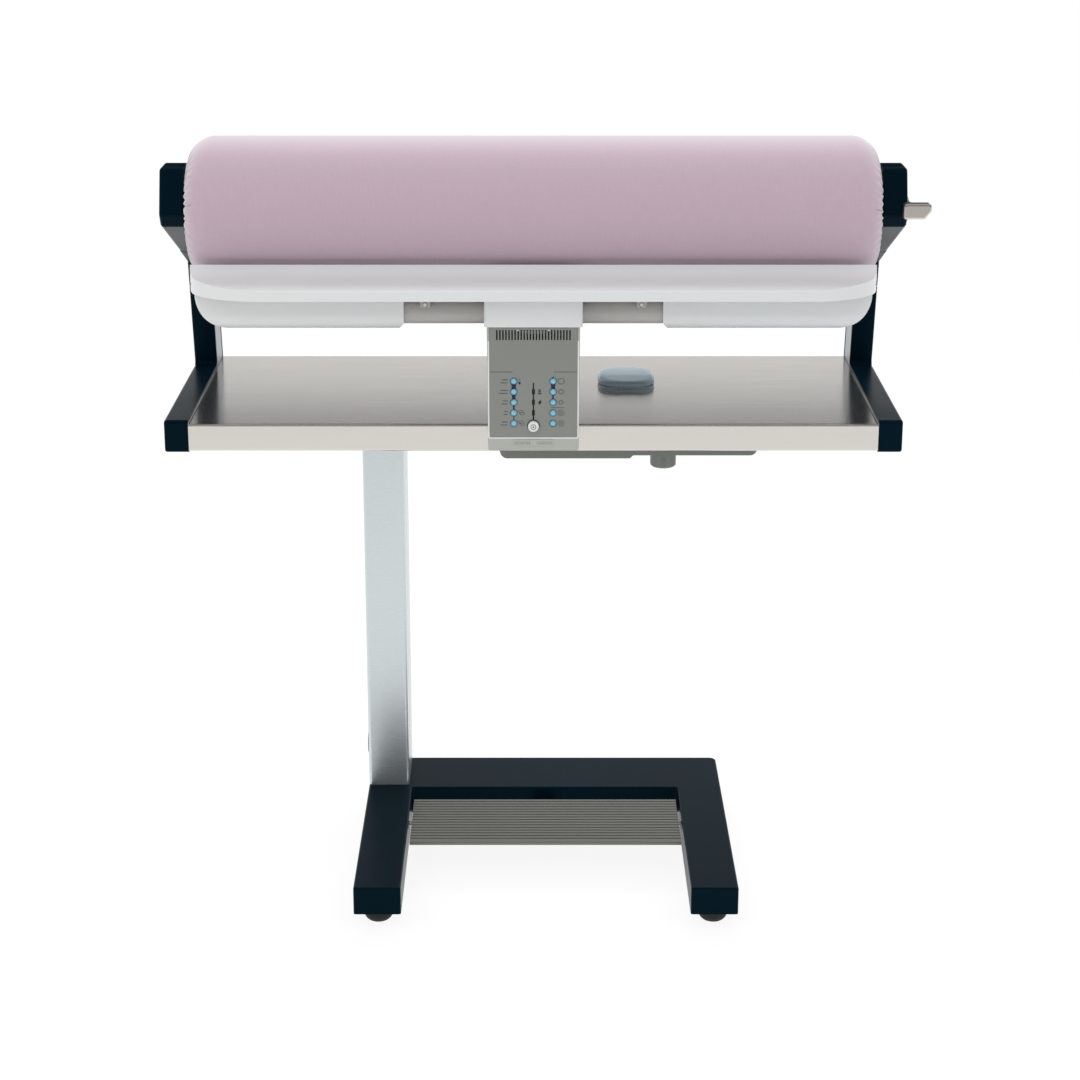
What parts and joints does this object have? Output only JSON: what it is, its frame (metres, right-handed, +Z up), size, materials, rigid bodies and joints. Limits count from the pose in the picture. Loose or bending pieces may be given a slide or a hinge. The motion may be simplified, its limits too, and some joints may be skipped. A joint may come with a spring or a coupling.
{
  "type": "flatwork ironer",
  "caption": "Compact flatwork ironer: padded roller between two arms over a rising heated trough, feed table, control console, steel shelf, single column and pedal base.",
  "frame": {"origin": "middle of the outline at floor level, under the glides' soles", "axes": "+Z up; +X to the right of someone who stands at the feed table; +Y to the machine's rear"},
  "size_m": [0.938, 0.421, 1.0015],
  "materials": {
    "black_rubber": "matt",
    "board_green": "solder mask",
    "bright_steel": "bright plated",
    "bronze": "sintered bronze",
    "button_blue": "light blue",
    "console_grey": "fine satin, light grey",
    "cover_cotton": "woven cotton, dusty pink",
    "dark_paint": "satin, very dark blue",
    "fascia_grey": "satin, mid grey",
    "knob_white": "white",
    "lever_steel": "brushed",
    "lid_blue_grey": "gloss blue grey",
    "light_sheet": "light satin grey",
    "motor_black": "black enamel",
    "padding_felt": "needled felt",
    "polished_aluminium": "polished",
    "ribbed_aluminium": "satin anodised",
    "silver_cover": "satin silver paint",
    "stainless": "brushed lengthways",
    "structural_steel": "dark satin paint",
    "tank_natural": "natural polymer",
    "tube_grey": "grey satin paint",
    "under_grey": "satin grey",
    "white_plastic": "gloss",
    "zinc_steel": "zinc plated"
  },
  "bodies": {
    "stand": {"base_frame": "dark_paint", "cable_gland": "black_rubber", "column_front_cover": "silver_cover", "column_post": "structural_steel", "column_rear_cover": "silver_cover", "console_fascia": "fascia_grey", "console_housing": "console_grey", "control_board": "board_green", "cross_beam": "structural_steel", "drive_motor": "motor_black", "filler_collar": "lid_blue_grey", "frame_screws": "bright_steel", "head_cover_left": "dark_paint", "head_cover_right": "dark_paint", "inner_plates": "light_sheet", "lid_hinge_pin": "bright_steel", "lift_actuator": "motor_black", "pedal_pins": "bright_steel", "pedal_switch": "motor_black", "rubber_glides": "black_rubber", "shelf_tray": "stainless", "side_frame_left": "dark_paint", "side_frame_right": "dark_paint", "steam_generator": "polished_aluminium", "steam_unit_cover": "under_grey", "stub_axles": "zinc_steel", "water_pump": "motor_black", "water_tank": "tank_natural"},
    "roller": {"roller_tube": "zinc_steel", "roller_padding": "padding_felt", "roller_cover": "cover_cotton", "drive_disc": "zinc_steel", "end_discs": "zinc_steel", "axle_bushes": "bronze"},
    "shoe": {"heated_trough": "polished_aluminium", "heating_elements": "bright_steel", "trough_shield": "zinc_steel", "shoe_carrier": "tube_grey", "feed_table": "white_plastic", "shoe_screws": "bright_steel", "centre_cover": "white_plastic", "lift_bracket": "zinc_steel", "lower_cover_left": "white_plastic", "lower_cover_right": "white_plastic"},
    "pedal": {"pedal_plate": "ribbed_aluminium", "pedal_torsion_bar": "zinc_steel"},
    "lever": {"release_lever": "lever_steel"},
    "lid": {"tank_lid": "lid_blue_grey"},
    "drain": {"drain_knob": "under_grey"},
    "slider": {"slider_knob": "knob_white"},
    "button_left_1": {"button_left_1": "button_blue"},
    "button_left_2": {"button_left_2": "button_blue"},
    "button_left_3": {"button_left_3": "button_blue"},
    "button_left_4": {"button_left_4": "button_blue"},
    "button_left_5": {"button_left_5": "button_blue"},
    "button_right_1": {"button_right_1": "button_blue"},
    "button_right_2": {"button_right_2": "button_blue"},
    "button_right_3": {"button_right_3": "button_blue"},
    "button_right_4": {"button_right_4": "button_blue"},
    "button_right_5": {"button_right_5": "button_blue"}
  },
  "joints": [
    {"name": "roller_spin", "type": "hinge", "parent": "stand", "child": "roller", "pos_m": [-0.013, -0.0405, 0.9115], "axis": [1, 0, 0], "continuous": true},
    {"name": "shoe_lift", "type": "slide", "parent": "stand", "child": "shoe", "axis": [0, 0, 1], "range_m": [0, 0.007]},
    {"name": "pedal_tilt", "type": "hinge", "parent": "stand", "child": "pedal", "pos_m": [-0.013, 0.0235, 0.044], "axis": [1, 0, 0], "range_deg": [0, 6], "stiffness_Nm_per_rad": 8, "springref_deg": -5.73},
    {"name": "lever_turn", "type": "hinge", "parent": "stand", "child": "lever", "pos_m": [0.446, -0.0405, 0.9115], "axis": [1, 0, 0], "range_deg": [0, 45], "stiffness_Nm_per_rad": 0.3, "springref_deg": -17.19},
    {"name": "lid_hinge", "type": "hinge", "parent": "stand", "child": "lid", "pos_m": [0.1085, 0.102, 0.664], "axis": [-1, 0, 0], "range_deg": [0, 95]},
    {"name": "drain_turn", "type": "hinge", "parent": "stand", "child": "drain", "pos_m": [0.152, -0.0505, 0.6], "axis": [0, 0, 1], "range_deg": [0, 90]},
    {"name": "slider_move", "type": "slide", "parent": "stand", "child": "slider", "axis": [0, 0, 1], "range_m": [0, 0.05]},
    {"name": "button_left_1_press", "type": "slide", "parent": "stand", "child": "button_left_1", "axis": [0, 1, 0], "range_m": [0, 0.001], "stiffness_N_per_m": 400, "springref_m": -0.001},
    {"name": "button_left_2_press", "type": "slide", "parent": "stand", "child": "button_left_2", "axis": [0, 1, 0], "range_m": [0, 0.001], "stiffness_N_per_m": 400, "springref_m": -0.001},
    {"name": "button_left_3_press", "type": "slide", "parent": "stand", "child": "button_left_3", "axis": [0, 1, 0], "range_m": [0, 0.001], "stiffness_N_per_m": 400, "springref_m": -0.001},
    {"name": "button_left_4_press", "type": "slide", "parent": "stand", "child": "button_left_4", "axis": [0, 1, 0], "range_m": [0, 0.001], "stiffness_N_per_m": 400, "springref_m": -0.001},
    {"name": "button_left_5_press", "type": "slide", "parent": "stand", "child": "button_left_5", "axis": [0, 1, 0], "range_m": [0, 0.001], "stiffness_N_per_m": 400, "springref_m": -0.001},
    {"name": "button_right_1_press", "type": "slide", "parent": "stand", "child": "button_right_1", "axis": [0, 1, 0], "range_m": [0, 0.001], "stiffness_N_per_m": 400, "springref_m": -0.001},
    {"name": "button_right_2_press", "type": "slide", "parent": "stand", "child": "button_right_2", "axis": [0, 1, 0], "range_m": [0, 0.001], "stiffness_N_per_m": 400, "springref_m": -0.001},
    {"name": "button_right_3_press", "type": "slide", "parent": "stand", "child": "button_right_3", "axis": [0, 1, 0], "range_m": [0, 0.001], "stiffness_N_per_m": 400, "springref_m": -0.001},
    {"name": "button_right_4_press", "type": "slide", "parent": "stand", "child": "button_right_4", "axis": [0, 1, 0], "range_m": [0, 0.001], "stiffness_N_per_m": 400, "springref_m": -0.001},
    {"name": "button_right_5_press", "type": "slide", "parent": "stand", "child": "button_right_5", "axis": [0, 1, 0], "range_m": [0, 0.001], "stiffness_N_per_m": 400, "springref_m": -0.001}
  ]
}
